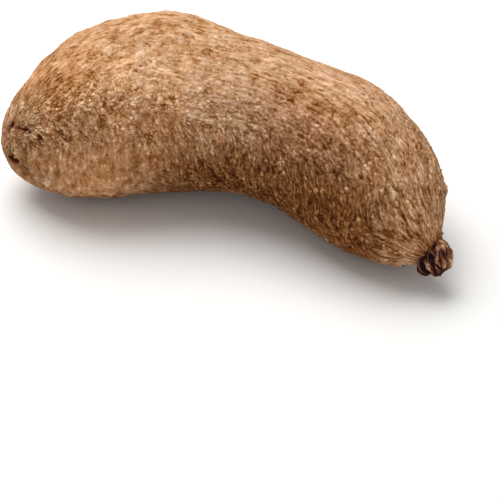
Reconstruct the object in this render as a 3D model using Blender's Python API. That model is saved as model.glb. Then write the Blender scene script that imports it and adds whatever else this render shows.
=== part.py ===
"""A whole yam tuber, bent like a kidney, lying on two small flats under its belly and its shoulder.

Metres, +Z up. The origin is the middle of the tuber's bounding box, on the surface that it lies on.
+X runs from the blunt growing tip to the woody crown, and the bend opens towards -Y.
"""

import math
from typing import NamedTuple

import bmesh
import bpy
import numpy as np
from mathutils import Matrix, Vector


class Rib(NamedTuple):
    """One station of the tuber's midline."""

    along: float  # X
    across: float  # Y
    height: float  # Z above the surface that the tuber lies on
    girth: float  # radius here, before the ends round it off


# Stations at even steps from tip to crown. The belly is at the third, the waist at the fifth, the shoulder next.
RIBS = (
    Rib(along=-0.1230, across=-0.0415, height=0.0340, girth=0.0525),
    Rib(along=-0.0965, across=-0.0215, height=0.0450, girth=0.0550),
    Rib(along=-0.0590, across=0.0020, height=0.0505, girth=0.0545),
    Rib(along=-0.0185, across=0.0115, height=0.0495, girth=0.0460),
    Rib(along=0.0315, across=0.0095, height=0.0470, girth=0.0445),
    Rib(along=0.0795, across=-0.0090, height=0.0395, girth=0.0535),
    Rib(along=0.1155, across=-0.0410, height=0.0290, girth=0.0540),
)

# The girth's sections fan out steadily along the bend: which way they face at the tip and at the crown.
TIP_HEADING = math.radians(40)
CROWN_HEADING = math.radians(-44)

# Broad swellings and small lumps of the skin: how far apart, and how high.
SWELLING_SIZE = 0.055
SWELLING_HEIGHT = 0.0006
LUMP_SIZE = 0.016
LUMP_HEIGHT = 0.00025
WAVES = 24
SWELLING_SEED = 5
LUMP_SEED = 11

# Fineness of the body's sphere: meridians round the girth, rings from tip to crown.
BODY_MERIDIANS = 48
BODY_RINGS = 60

# The crown, the woody foot of last year's stem, is a knob of rounded lobes. It sits a little off the end.
CROWN_SPOT = Vector((0.978, 0.140, -0.170))  # on the unit sphere that the tuber is shaped from
CROWN_AXIS = Vector((0.93, -0.33, -0.15))
CROWN_STAND = 0.0026  # the knob's middle stands this far out from the spot
CROWN_HEART_RADIUS = 0.0080
CROWN_LOBES = 14
CROWN_LOBE_RADIUS = 0.0042
CROWN_LOBE_SPREAD = 0.0064  # from the knob's middle to each lobe's
CROWN_LOBE_VARIATION = 0.20
CROWN_LOBE_WANDER = math.radians(16)
CROWN_RIM_ANGLE = math.radians(100)
CROWN_SEED = 3
CROWN_MERIDIANS = 34
CROWN_RINGS = 24
GOLDEN_ANGLE = math.radians(137.508)

# The tip has a shallow dished scar where growth stopped.
SCAR_SPOT = Vector((-0.978, -0.144, 0.151))  # on the same unit sphere
SCAR_DIRECTION = Vector((-0.64, -0.76, 0.11))
SCAR_DISH_RADIUS = 0.048
SCAR_DEPTH = 0.0019
SCAR_MERIDIANS = 48
SCAR_RINGS = 30

# The box that cuts the resting flats reaches past the tuber on every side.
FLOOR_CUT_WIDTH = 0.4
FLOOR_CUT_DEPTH = 0.02

SKIN_COLOUR = (0.40, 0.235, 0.125, 1.0)
SKIN_ROUGHNESS = 0.85


def clear_scene():
    """Takes every object out of the open file."""
    for obj in list(bpy.data.objects):
        bpy.data.objects.remove(obj)


def new_collection(name):
    """A collection of that name, linked to the scene."""
    collection = bpy.data.collections.new(name)
    bpy.context.scene.collection.children.link(collection)
    return collection


def spline(values, at):
    """The natural cubic spline through values, which stand at even steps from 0 to 1, read at those places."""
    values = np.asarray(values, float)
    last = len(values) - 1
    bend = np.zeros_like(values)
    equations = 4 * np.eye(last - 1) + np.eye(last - 1, k=1) + np.eye(last - 1, k=-1)
    bend[1:-1] = np.linalg.solve(equations, np.diff(values, n=2, axis=0))
    start = np.clip(np.floor(at * last).astype(int), 0, last - 1)
    t = (at * last - start)[:, None]
    s = 1 - t
    return s * values[start] + t * values[start + 1] + (s**3 - s) * bend[start] + (t**3 - t) * bend[start + 1]


def waves(points, size, seed):
    """A smooth random field over the points, about one high, with swells about size apart: a sum of sine waves."""
    draw = np.random.default_rng(seed)
    directions = draw.normal(size=(WAVES, 3))
    directions /= np.linalg.norm(directions, axis=1, keepdims=True)
    lengths = size * draw.uniform(0.75, 1.35, size=(WAVES, 1))
    phases = draw.uniform(0, 2 * math.pi, size=WAVES)
    return np.sin(points @ (2 * math.pi * directions / lengths).T + phases).sum(axis=1) * math.sqrt(2 / WAVES)


def tuber_points(sphere):
    """Carries the points of a unit sphere, poles on X, to the tuber: X runs along the midline, and Y and Z,
    times the girth, go sideways and up from it. The skin's swellings and lumps are added outwards."""
    place = (1 + sphere[:, 0]) / 2
    ribs = spline(RIBS, place)
    midline, girth = ribs[:, :3], ribs[:, 3:]
    heading = TIP_HEADING + (CROWN_HEADING - TIP_HEADING) * place
    level = np.zeros_like(heading)
    forward = np.stack((np.cos(heading), np.sin(heading), level), axis=1)
    side = np.stack((-np.sin(heading), np.cos(heading), level), axis=1)
    up = np.array((0.0, 0.0, 1.0))
    x, y, z = sphere.T[:, :, None]
    smooth = midline + girth * (y * side + z * up)
    relief = SWELLING_HEIGHT * waves(smooth, SWELLING_SIZE, SWELLING_SEED)
    relief += LUMP_HEIGHT * waves(smooth, LUMP_SIZE, LUMP_SEED)
    return smooth + relief[:, None] * (x * forward + y * side + z * up)


def tuber_spot(spot):
    """The place on the tuber that one point of the unit sphere is carried to."""
    return Vector(tuber_points(np.array([spot.normalized()]))[0])


def crown_points(sphere):
    """Pushes the points of a unit sphere, dome on +X, out to the knob's surface: the heart's ball, or the
    lobe that reaches furthest that way. The lobes stand near golden angles from the dome's middle to its rim."""
    draw = np.random.default_rng(CROWN_SEED)
    count = np.arange(CROWN_LOBES)
    wander = CROWN_LOBE_WANDER * draw.uniform(-1, 1, size=(2, CROWN_LOBES))
    off_axis = CROWN_RIM_ANGLE * np.sqrt((count + 0.3) / CROWN_LOBES) + wander[0]
    around = GOLDEN_ANGLE * count + wander[1]
    across = np.sin(off_axis)
    middles = np.stack((np.cos(off_axis), across * np.cos(around), across * np.sin(around)), axis=1)
    middles *= CROWN_LOBE_SPREAD * (1 + CROWN_LOBE_VARIATION * draw.uniform(-1, 1, size=(CROWN_LOBES, 1)))
    radii = CROWN_LOBE_RADIUS * (1 + CROWN_LOBE_VARIATION * draw.uniform(-1, 1, size=CROWN_LOBES))
    nearest = sphere @ middles.T
    half_chord = radii**2 - (middles**2).sum(axis=1) + nearest**2
    reach = np.where(half_chord > 0, nearest + np.sqrt(np.maximum(half_chord, 0)), 0)
    return sphere * np.maximum(CROWN_HEART_RADIUS, reach.max(axis=1))[:, None]


def sphere_object(name, collection, meridians, rings, radius=1.0):
    """A sphere with its poles on X."""
    mesh = bpy.data.meshes.new(name)
    shape = bmesh.new()
    bmesh.ops.create_uvsphere(shape, u_segments=meridians, v_segments=rings, radius=radius)
    bmesh.ops.rotate(shape, verts=shape.verts, matrix=Matrix.Rotation(math.radians(90), 3, "Y"))
    shape.to_mesh(mesh)
    shape.free()
    obj = bpy.data.objects.new(name, mesh)
    collection.objects.link(obj)
    return obj


def reshape(obj, carry):
    """Moves every point of the object's mesh to where carry puts it."""
    points = np.empty(len(obj.data.vertices) * 3, np.float32)
    obj.data.vertices.foreach_get("co", points)
    moved = carry(points.reshape(-1, 3).astype(float))
    obj.data.vertices.foreach_set("co", moved.astype(np.float32).ravel())
    obj.data.update()


def fuse_crown(body, collection):
    """Grows the knob out of the tuber's end: one Boolean union, applied, because the two grew as one."""
    knob = sphere_object("crown", collection, CROWN_MERIDIANS, CROWN_RINGS)
    reshape(knob, crown_points)
    knob.location = tuber_spot(CROWN_SPOT) + CROWN_AXIS.normalized() * CROWN_STAND
    knob.rotation_euler = CROWN_AXIS.to_track_quat("X", "Z").to_euler()
    union = body.modifiers.new("crown", "BOOLEAN")
    union.operation = "UNION"
    union.object = knob
    bpy.context.view_layer.update()
    fused = bpy.data.meshes.new_from_object(body.evaluated_get(bpy.context.evaluated_depsgraph_get()))
    body.modifiers.remove(union)
    body.data = fused
    bpy.data.objects.remove(knob)


def cut_away(body, cutter):
    """Takes the cutter's shape out of the body and keeps the cutter as a wire helper."""
    cutter.hide_render = True
    cutter.display_type = "WIRE"
    cut = body.modifiers.new(cutter.name, "BOOLEAN")
    cut.operation = "DIFFERENCE"
    cut.object = cutter


def make_scar_cutter(collection):
    """The ball that dishes the tip: it dips SCAR_DEPTH below the skin."""
    cutter = sphere_object("scar_cutter", collection, SCAR_MERIDIANS, SCAR_RINGS, SCAR_DISH_RADIUS)
    cutter.location = tuber_spot(SCAR_SPOT) + SCAR_DIRECTION.normalized() * (SCAR_DISH_RADIUS - SCAR_DEPTH)
    return cutter


def make_floor_cutter(collection):
    """The box under the tuber, whose top face at Z 0 leaves the flats that the tuber lies on."""
    bpy.ops.mesh.primitive_cube_add(size=1.0, location=(0, 0, -FLOOR_CUT_DEPTH / 2))
    cutter = bpy.context.object
    cutter.name = "floor_cutter"
    cutter.scale = (FLOOR_CUT_WIDTH, FLOOR_CUT_WIDTH, FLOOR_CUT_DEPTH)
    for holder in list(cutter.users_collection):
        holder.objects.unlink(cutter)
    collection.objects.link(cutter)
    return cutter


def skin_material():
    """Dry, scurfy brown skin."""
    material = bpy.data.materials.new("yam_skin")
    material.use_nodes = True
    shader = material.node_tree.nodes["Principled BSDF"]
    shader.inputs["Base Color"].default_value = SKIN_COLOUR
    shader.inputs["Roughness"].default_value = SKIN_ROUGHNESS
    shader.inputs["Metallic"].default_value = 0.0
    return material


def main():
    clear_scene()
    tuber_collection = new_collection("yam tuber")
    cutters = new_collection("cutters")
    body = sphere_object("yam_tuber", tuber_collection, BODY_MERIDIANS, BODY_RINGS)
    reshape(body, tuber_points)
    fuse_crown(body, tuber_collection)
    cut_away(body, make_scar_cutter(cutters))
    cut_away(body, make_floor_cutter(cutters))
    body.data.materials.clear()
    body.data.materials.append(skin_material())
    body.data.shade_smooth()


if __name__ == "__main__":
    main()
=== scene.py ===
"""The looks of a whole yam tuber: bark-like skin, cork flakes, a dished scar at the tip and a woody crown.

Metres, +Z up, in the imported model's frame: the tip is at -X, the crown at +X and the bend opens towards -Y.
The skin is the CAD form with its relief worked out finely. Everything rides on the one body, "root".
"""

from __future__ import annotations

import itertools
import logging
import math
from collections.abc import Mapping
from dataclasses import dataclass, field
from enum import Enum
from typing import NamedTuple

import bpy
import numpy as np
from bpy.types import Material, Node, NodeSocket, Object
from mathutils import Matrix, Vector

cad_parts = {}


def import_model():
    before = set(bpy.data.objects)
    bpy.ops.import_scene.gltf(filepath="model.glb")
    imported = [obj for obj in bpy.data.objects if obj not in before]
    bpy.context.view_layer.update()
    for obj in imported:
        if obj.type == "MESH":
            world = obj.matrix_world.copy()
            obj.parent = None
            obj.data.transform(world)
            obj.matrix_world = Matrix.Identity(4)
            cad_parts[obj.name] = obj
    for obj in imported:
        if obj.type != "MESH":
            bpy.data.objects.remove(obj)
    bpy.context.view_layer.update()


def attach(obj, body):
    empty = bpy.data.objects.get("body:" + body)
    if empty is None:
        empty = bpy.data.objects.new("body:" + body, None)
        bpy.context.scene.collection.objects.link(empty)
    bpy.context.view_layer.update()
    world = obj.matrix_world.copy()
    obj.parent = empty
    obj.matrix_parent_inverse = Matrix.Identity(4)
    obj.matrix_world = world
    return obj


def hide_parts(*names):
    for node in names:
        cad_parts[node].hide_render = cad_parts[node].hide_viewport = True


Array = np.ndarray
Pair = tuple[float, float]
Triple = tuple[float, float, float]
Values = Mapping[str | int, object]
Stops = tuple[tuple[float, str], ...]

MM = 0.001
BODY = "root"
TUBER_NODE = "yam_tuber"
BAKE_MAP = "OFBake"  # the export keeps a map of this name instead of unwrapping the piece itself

log = logging.getLogger("yam_tuber")


def ease(values: Array, start: float, end: float) -> Array:
    """A smooth step: 3t^2 - 2t^3, with t going from 0 at start to 1 at end.

    Args:
        values: where to read the step.
        start: where it is still 0. It may be above end, for a step down.
        end: where it is 1.

    Returns:
        Numbers from 0 to 1, one for each value.
    """
    t = np.clip((values - start) / (end - start), 0.0, 1.0)
    return t * t * (3.0 - 2.0 * t)


def unit(vectors: Array | Triple) -> Array:
    """The vectors, each divided by its own length."""
    return np.asarray(vectors) / np.maximum(np.linalg.norm(vectors, axis=-1, keepdims=True), 1e-12)


def between(span: Pair, share: Array) -> Array:
    """From the span's first number at share 0 to its last at share 1."""
    return span[0] + (span[1] - span[0]) * share


def turns(count: int) -> Array:
    """Even angles round a circle."""
    return np.arange(count) * (2 * math.pi / count)


def on_sphere(angle: Array, turn: Array) -> Array:
    """Places on a unit sphere: minus the angle's cosine along X, and its sine across, turned round X."""
    return np.stack((-np.cos(angle), np.sin(angle) * np.cos(turn), np.sin(angle) * np.sin(turn)), axis=-1)


def sphere_grid(angles: Array, meridians: int) -> Array:
    """Rings round X on a unit sphere. The first and the last are poles, with all their points in one place.

    Args:
        angles: each ring's angle, from 0 at the pole at -X to pi at the other.
        meridians: how many points go round.

    Returns:
        Places, three to a row, ring by ring.
    """
    sphere = on_sphere(*np.meshgrid(angles, turns(meridians), indexing="ij"))
    sphere[[0, -1], :, 1:] = 0.0
    return sphere.reshape(-1, 3)


def turn_to(way: Triple) -> Array:
    """The turn that carries X to the given way, as a matrix."""
    return np.array(Vector(way).to_track_quat("X", "Z").to_matrix())


@dataclass(frozen=True)
class Lattice:
    """A random field over unit cells of space, which gives the same numbers each run."""

    seed: int  # each field of the file has its own

    def draw(self, cells: Array, channel: int) -> Array:
        """Draws one number for each cell: its three whole numbers, times large odd numbers, are mixed by
        shifts and products until their bits look random.

        Args:
            cells: whole-number places, three to a row.
            channel: which of the cell's numbers is wanted.

        Returns:
            Numbers from 0 to 1, one for each cell.
        """
        places = cells.astype(np.int64).astype(np.uint32)
        mixed = places[..., 0] * np.uint32(0x8DA6B343)
        mixed ^= places[..., 1] * np.uint32(0xD8163841)
        mixed ^= places[..., 2] * np.uint32(0xCB1AB31F)
        mixed ^= np.uint32((self.seed * 7919 + channel * 104729) & 0xFFFFFFFF)
        for shift, factor in ((16, 0x7FEB352D), (15, 0x846CA68B), (16, 0x9E3779B1)):
            mixed ^= mixed >> np.uint32(shift)
            mixed *= np.uint32(factor)
        mixed ^= mixed >> np.uint32(15)
        return mixed.astype(np.float32) / np.float32(2**32)

    def swell(self, points: Array) -> Array:
        """Gradient noise: each corner of a point's cell has a random slope, and the eight slopes' heights
        at the point are blended by the quintic step 6t^5 - 15t^4 + 10t^3.

        Args:
            points: places, three to a row, in cells.

        Returns:
            Heights of about -1 to 1, one for each point.
        """
        home = np.floor(points)
        inside = (points - home).astype(np.float32)
        blend = inside**3 * (inside * (inside * 6 - 15) + 10)
        total = np.zeros(len(points), np.float32)
        for corner in itertools.product((0, 1), repeat=3):
            step = np.array(corner, np.float32)
            share = np.where(step > 0, blend, 1 - blend).prod(axis=1)
            slope = np.stack([self.draw(home + step, axis) for axis in range(3)], axis=1) * 2 - 1
            total += share * (slope * (inside - step)).sum(axis=1)
        return total * 2

    def rough(self, points: Array, octaves: int) -> Array:
        """Swells at halving sizes and heights, added up, of about -1 to 1 in all."""
        layers = [Lattice(self.seed + 17 * k).swell(points * 2**k) * 0.5**k for k in range(octaves)]
        return np.sum(layers, axis=0) / 1.4

    def drift(self, points: Array, octaves: int = 0) -> Array:
        """Three fields of neighbouring seeds, as the parts of a vector.

        Args:
            points: places, three to a row, in cells.
            octaves: 0 for plain swells, else how many octaves of rough ones.

        Returns:
            Three heights for each point.
        """
        fields = [Lattice(self.seed + k) for k in range(3)]
        heights = [each.rough(points, octaves) if octaves else each.swell(points) for each in fields]
        return np.stack(heights, axis=1)

    def grains(self, points: Array) -> tuple[Array, Array, Array]:
        """Cellular noise: each cell holds one seed at a random place, and each point looks for its nearest
        two among the 27 cells around it.

        Args:
            points: places, three to a row, in cells.

        Returns:
            The distance to the nearest seed, how much further the second one is, and the nearest seed's
            own random number from 0 to 1.
        """
        home = np.floor(points)
        inside = (points - home).astype(np.float32)
        nearest = np.full(len(points), 9.0, np.float32)
        second = nearest.copy()
        tone = np.zeros_like(nearest)
        for offset in itertools.product((-1, 0, 1), repeat=3):
            step = np.array(offset, np.float32)
            cell = home + step
            seed = np.stack([self.draw(cell, axis) for axis in range(3)], axis=1)
            distance = np.linalg.norm(step + seed - inside, axis=1)
            closer = distance < nearest
            second = np.where(closer, nearest, np.minimum(second, distance))
            nearest = np.where(closer, distance, nearest)
            tone = np.where(closer, self.draw(cell, 3), tone)
        return nearest, second - nearest, tone

    def domes(self, points: Array, gap_share: float) -> tuple[Array, Array]:
        """Domes, one less the squared distance to the seed and cut off at the gaps, and each one's number."""
        near, gap, own = self.grains(points)
        return (1 - near**2) * ease(gap, 0.0, gap_share), own


@dataclass(frozen=True)
class MeshPlan:
    """What a mesh is made from: places, faces turned outwards, and a number or a vector for each point."""

    points: Array
    faces: tuple[Array, ...]
    values: dict[str, Array] = field(default_factory=dict)
    normals: Array | None = None
    bake_map: Array | None = None  # a flat place for each face's corner, in the faces' order

    def build(self, name: str, material: Material) -> Object:
        """Makes the object, smooth-shaded, at the origin and unturned.

        Args:
            name: the piece's name.
            material: what the whole piece wears.

        Returns:
            The new object, linked to the scene.
        """
        mesh = bpy.data.meshes.new(name)
        sides = np.concatenate([np.full(len(block), block.shape[1]) for block in self.faces])
        corners = np.concatenate([block.ravel() for block in self.faces])
        mesh.vertices.add(len(self.points))
        mesh.vertices.foreach_set("co", self.points.astype(np.float32).ravel())
        mesh.loops.add(len(corners))
        mesh.loops.foreach_set("vertex_index", corners.astype(np.int32))
        mesh.polygons.add(len(sides))
        mesh.polygons.foreach_set("loop_start", (np.cumsum(sides) - sides).astype(np.int32))
        mesh.update(calc_edges=True)
        mesh.validate()
        for key, numbers in self.values.items():
            kind, socket = ("FLOAT", "value") if numbers.ndim == 1 else ("FLOAT_VECTOR", "vector")
            layer = mesh.attributes.new(key, kind, "POINT")
            layer.data.foreach_set(socket, numbers.astype(np.float32).ravel())
        if self.bake_map is not None:
            layer = mesh.uv_layers.new(name=BAKE_MAP)
            layer.data.foreach_set("uv", (0.004 + 0.992 * self.bake_map).astype(np.float32).ravel())
        mesh.shade_smooth()
        if self.normals is not None:
            mesh.normals_split_custom_set_from_vertices(self.normals.astype(np.float32))
        mesh.materials.append(material)
        piece = bpy.data.objects.new(name, mesh)
        bpy.context.scene.collection.objects.link(piece)
        return piece


@dataclass(frozen=True)
class Tube:
    """Rings of points that close on themselves, numbered ring by ring, and the faces between them."""

    rings: int
    round_count: int

    def quads(self) -> Array:
        """The walls: corner numbers, four to a row, turned outwards where the rings run up an axis and go
        round it clockwise as seen along it."""
        ring = np.arange(self.rings - 1)[:, None] * self.round_count
        here = np.arange(self.round_count)[None, :]
        after = (here + 1) % self.round_count
        next_ring = ring + self.round_count
        corners = ring + here, ring + after, next_ring + after, next_ring + here
        return np.stack(corners, axis=-1).reshape(-1, 4)

    def wall_map(self) -> Array:
        """The walls unrolled: for each corner, its share of the way along the rings and round them."""
        along = np.arange(self.rings - 1)[:, None, None] + np.array((0, 0, 1, 1))
        turn = np.arange(self.round_count)[None, :, None] + np.array((0, 1, 1, 0))
        along, turn = np.broadcast_arrays(along / (self.rings - 1), turn / self.round_count)
        return np.stack((along, turn), axis=-1).reshape(-1, 4, 2)

    def fan(self, pole: int, first: int, opens_back: bool) -> Array:
        """The triangles that close a ring with one pole point.

        Args:
            pole: the pole's number.
            first: the number of the ring's first point.
            opens_back: whether the pole is the start of the rings rather than their end.

        Returns:
            Corner numbers, three to a row, turned outwards.
        """
        here = first + np.arange(self.round_count)
        after = first + (np.arange(self.round_count) + 1) % self.round_count
        ends = np.full(self.round_count, pole)
        return np.stack((ends, after, here) if opens_back else (ends, here, after), axis=1)

    def closed(self, start: bool, end: bool) -> tuple[slice, tuple[Array, ...], Array]:
        """Walls whose first or last ring may be a pole, with all its points in one place: one of them stays,
        and triangles fan out from it.

        Args:
            start: whether the first ring is a pole.
            end: whether the last ring is one.

        Returns:
            Which of the rings' points stay, the faces between them, and a flat place for each face's corner.
        """
        quads, places, count = self.quads(), self.wall_map(), self.round_count
        inner = slice(count if start else 0, len(quads) - (count if end else 0))
        dropped = count - 1 if start else 0
        keep = slice(dropped, self.rings * count - (count - 1 if end else 0))
        faces, flat = [quads[inner] - dropped], [places[inner]]
        if start:
            faces.append(self.fan(0, 1, opens_back=True))
            flat.append(places[:count, [0, 2, 3]])
        if end:
            pole = keep.stop - dropped - 1
            faces.append(self.fan(pole, pole - count, opens_back=False))
            flat.append(places[-count:, [3, 0, 1]])
        return keep, tuple(faces), np.concatenate([block.reshape(-1, 2) for block in flat])


def bundle(
    path: Array, width: Array, outwards: Array, flat: float = 1.0, sides: int = 7
) -> tuple[Array, tuple[Array, ...]]:
    """Carries one ellipse along many paths at once: width times the cosine of its turn goes sideways, and
    flat times width times the sine goes outwards. Both ends are closed.

    Args:
        path: for each tube, its steps' places.
        width: half the tube's width at each step.
        outwards: away from the surface that the tube lies on, at each step.
        flat: the ellipse's height over its width.
        sides: how many points go round.

    Returns:
        The points, and the faces of the walls and both ends.
    """
    count, steps = path.shape[:2]
    ahead = unit(np.gradient(path, axis=1))
    sideways = unit(np.cross(outwards, ahead))
    upwards = np.cross(ahead, sideways)
    turn = turns(sides)
    across = np.cos(turn)[:, None] * sideways[:, :, None] + flat * np.sin(turn)[:, None] * upwards[:, :, None]
    points = path[:, :, None] + width[..., None, None] * across
    shift = np.arange(count)[:, None, None] * (steps * sides)
    first = np.arange(sides) + shift[:, :, 0]
    walls = (Tube(steps, sides).quads()[None] + shift).reshape(-1, 4)
    return points.reshape(-1, 3), (walls, first[:, ::-1], first + (steps - 1) * sides)


def grid_normals(points: Array) -> Array:
    """Outward normals of a grid of rings: the cross product of the steps round and along it. A pole's
    ring, where every point is the same, takes the mean normal of the ring beside it.

    Args:
        points: rings, points round each, and three coordinates.

    Returns:
        Unit vectors, in the same layout.
    """
    along = np.gradient(points, axis=0)
    across = np.roll(points, -1, axis=1) - np.roll(points, 1, axis=1)
    normals = unit(np.cross(across, along))
    for pole, beside in ((0, 1), (-1, -2)):
        if np.ptp(points[pole], axis=0).max() < 1e-9:
            normals[pole] = unit(normals[beside].mean(axis=0))
    return normals


class Rib(NamedTuple):
    """One station of the tuber's midline, as in the solid."""

    along: float
    across: float
    height: float
    girth: float


@dataclass(frozen=True)
class TuberForm:
    """The solid's own form, from the same named sizes: a unit sphere carried onto a bent midline."""

    ribs: tuple[Rib, ...] = (
        Rib(along=-0.1230, across=-0.0415, height=0.0340, girth=0.0525),
        Rib(along=-0.0965, across=-0.0215, height=0.0450, girth=0.0550),
        Rib(along=-0.0590, across=0.0020, height=0.0505, girth=0.0545),
        Rib(along=-0.0185, across=0.0115, height=0.0495, girth=0.0460),
        Rib(along=0.0315, across=0.0095, height=0.0470, girth=0.0445),
        Rib(along=0.0795, across=-0.0090, height=0.0395, girth=0.0535),
        Rib(along=0.1155, across=-0.0410, height=0.0290, girth=0.0540),
    )
    tip_heading: float = math.radians(40)
    crown_heading: float = math.radians(-44)
    swelling: tuple[float, float, int] = (0.055, 0.0006, 5)  # size, height and seed
    lump: tuple[float, float, int] = (0.016, 0.00025, 11)
    wave_count: int = 24
    lean: Triple = (0.0, 0.145, -0.164)  # scar and crown stand this far off the poles
    crown_spot: Triple = (0.978, 0.140, -0.170)
    crown_axis: Triple = (0.93, -0.33, -0.15)
    crown_stand: float = 0.0026
    scar_spot: Triple = (-0.978, -0.144, 0.151)
    scar_direction: Triple = (-0.64, -0.76, 0.11)
    dish_radius: float = 0.048
    dish_depth: float = 0.0019

    def spline(self, at: Array) -> Array:
        """The natural cubic spline through the stations.

        Args:
            at: places from 0 at the tip to 1 at the crown.

        Returns:
            Along, across, height and girth there, four to a row.
        """
        values = np.array(self.ribs)
        last = len(values) - 1
        bend = np.zeros_like(values)
        equations = 4 * np.eye(last - 1) + np.eye(last - 1, k=1) + np.eye(last - 1, k=-1)
        bend[1:-1] = np.linalg.solve(equations, np.diff(values, n=2, axis=0))
        start = np.clip(np.floor(at * last).astype(int), 0, last - 1)
        t = (at * last - start)[:, None]
        s = 1 - t
        straight = s * values[start] + t * values[start + 1]
        return straight + (s**3 - s) * bend[start] + (t**3 - t) * bend[start + 1]

    def waves(self, points: Array, size: float, height: float, seed: int) -> Array:
        """The solid's relief: a sum of sine waves that run in random directions.

        Args:
            points: places on the smooth tuber.
            size: how far apart the swells are.
            height: how high they are.
            seed: which random waves.

        Returns:
            Heights in metres, one for each point.
        """
        draw = np.random.default_rng(seed)
        directions = unit(draw.normal(size=(self.wave_count, 3)))
        lengths = size * draw.uniform(0.75, 1.35, size=(self.wave_count, 1))
        phases = draw.uniform(0, 2 * math.pi, size=self.wave_count)
        swings = np.sin(points @ (2 * math.pi * directions / lengths).T + phases)
        return height * swings.sum(axis=1) * math.sqrt(2 / self.wave_count)

    def surface(self, sphere: Array) -> Array:
        """Carries the unit sphere to the tuber: X runs along the midline, and Y and Z, times the girth, go
        sideways and up from it. The solid's swellings and lumps are added outwards.

        Args:
            sphere: places on the unit sphere, poles on X, three to a row.

        Returns:
            Places on the tuber, in metres.
        """
        place = (1 + sphere[:, 0]) / 2
        ribs = self.spline(place)
        heading = self.tip_heading + (self.crown_heading - self.tip_heading) * place
        level = np.zeros_like(heading)
        forward = np.stack((np.cos(heading), np.sin(heading), level), axis=1)
        side = np.stack((-np.sin(heading), np.cos(heading), level), axis=1)
        up = np.array((0.0, 0.0, 1.0))
        x, y, z = sphere.T[:, :, None]
        smooth = ribs[:, :3] + ribs[:, 3:] * (y * side + z * up)
        relief = self.waves(smooth, *self.swelling) + self.waves(smooth, *self.lump)
        return smooth + relief[:, None] * (x * forward + y * side + z * up)

    def spot(self, place: Triple) -> Array:
        """Where one place on the unit sphere is carried to."""
        return self.surface(unit(np.array([place])))[0]

    def lengths(self) -> tuple[Array, Array, Array, Array]:
        """Tabulates lengths from the tip: along the midline they are the running sum of its steps, and over
        the skin the running sum of the steps of a curve whose height is girth times the angle's sine.

        Returns:
            Even angles from 0 at the tip's pole to pi at the crown's, and for each the length along the
            midline, the length over the skin, and the girth, in metres.
        """
        angles = np.linspace(0, math.pi, 2001)
        ribs = self.spline((1 - np.cos(angles)) / 2)
        steps = np.linalg.norm(np.diff(ribs[:, :3], axis=0), axis=1)
        skin_steps = np.hypot(steps, np.diff(ribs[:, 3] * np.sin(angles)))
        midline, skin = (np.concatenate(([0.0], np.cumsum(each))) for each in (steps, skin_steps))
        return angles, midline, skin, ribs[:, 3]

    def leaning(self, turned: Array) -> Array:
        """Shears a sphere whose poles are the scar and the crown into the sphere that the form uses: the
        lean, times X, is added, and the result is brought back to unit length."""
        return unit(turned + turned[:, :1] * np.array(self.lean))

    def knob_middle(self) -> Array:
        """The middle of the crown's knob."""
        return self.spot(self.crown_spot) + unit(self.crown_axis) * self.crown_stand

    def dish_middle(self) -> Array:
        """The middle of the ball whose surface the tip's scar is dished to."""
        outwards = unit(self.scar_direction)
        return self.spot(self.scar_spot) + outwards * (self.dish_radius - self.dish_depth)


class Spot(NamedTuple):
    """A round place on the skin, on the unit sphere, with how wide it spreads there and how strong it is."""

    place: Triple
    spread: float
    amount: float


class Patches(NamedTuple):
    """Uneven patches all over the skin: their seed, how wide they are in millimetres and how strong."""

    seed: int
    size: float
    amount: float


@dataclass(frozen=True)
class SkinChart:
    """Places on the skin told in ways that its patterns follow. Lengths are in millimetres."""

    sphere: Array
    plain: Array  # a straightened tuber: length along it, and the two distances from its middle line
    combed: Array  # length from the scar to the crown over the skin, then a ring of one width round it
    twined: Array  # the same with the ring turned steadily, so that its rows climb round the tuber
    gathered: Array  # the combed chart with a narrower ring, for rows that run together at the crown

    @property
    def along(self) -> Array:
        """The unit sphere's X: -1 at the tip, 1 at the crown."""
        return self.sphere[:, 0]

    @property
    def height(self) -> Array:
        """The unit sphere's Z: 1 on top, -1 underneath."""
        return self.sphere[:, 2]

    def spots(self, spots: tuple[Spot, ...]) -> Array:
        """The spots added up: each is a bell curve, its amount at its place and 0.37 of it at its spread."""
        away = [np.linalg.norm(self.sphere - unit(spot.place), axis=1) for spot in spots]
        return sum(spot.amount * np.exp(-((off / spot.spread) ** 2)) for spot, off in zip(spots, away))

    def patches(self, patches: tuple[Patches, ...]) -> Array:
        """The patches' rough noises, each times its amount, added up."""
        return sum(each.amount * Lattice(each.seed).rough(self.plain / each.size, 2) for each in patches)

    @classmethod
    def of(
        cls,
        form: TuberForm,
        turned: Array,
        ring_radius: float = 50.0,
        twist: float = -0.8,
        neck_share: float = 0.56,
    ) -> SkinChart:
        """Charts places given on the sphere whose poles are the scar and the crown.

        Args:
            form: the tuber.
            turned: places on that sphere, three to a row.
            ring_radius: the combed chart's ring, in millimetres.
            twist: how far the twined rows go round for each millimetre along.
            neck_share: the gathered chart's ring over the combed chart's.

        Returns:
            The chart.
        """
        angles, midline, skin, girth = form.lengths()
        sphere = form.leaning(turned)
        own_angle = np.arccos(np.clip(-sphere[:, 0], -1, 1))
        turned_angle = np.arccos(np.clip(-turned[:, 0], -1, 1))
        own_girth = np.interp(own_angle, angles, girth)[:, None]
        own_length = np.interp(own_angle, angles, midline)[:, None]
        length = np.interp(turned_angle, angles, skin) / MM
        plain = np.concatenate((own_length, own_girth * sphere[:, 1:]), axis=1) / MM
        across, up = unit(turned[:, 1:]).T * ring_radius
        turn = length * twist / ring_radius
        cosine, sine = np.cos(turn), np.sin(turn)
        combed = np.stack((length, across, up), axis=1)
        twined = np.stack((length, across * cosine - up * sine, across * sine + up * cosine), axis=1)
        return cls(sphere, plain, combed, twined, gathered=combed * (1.0, neck_share, neck_share))


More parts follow.
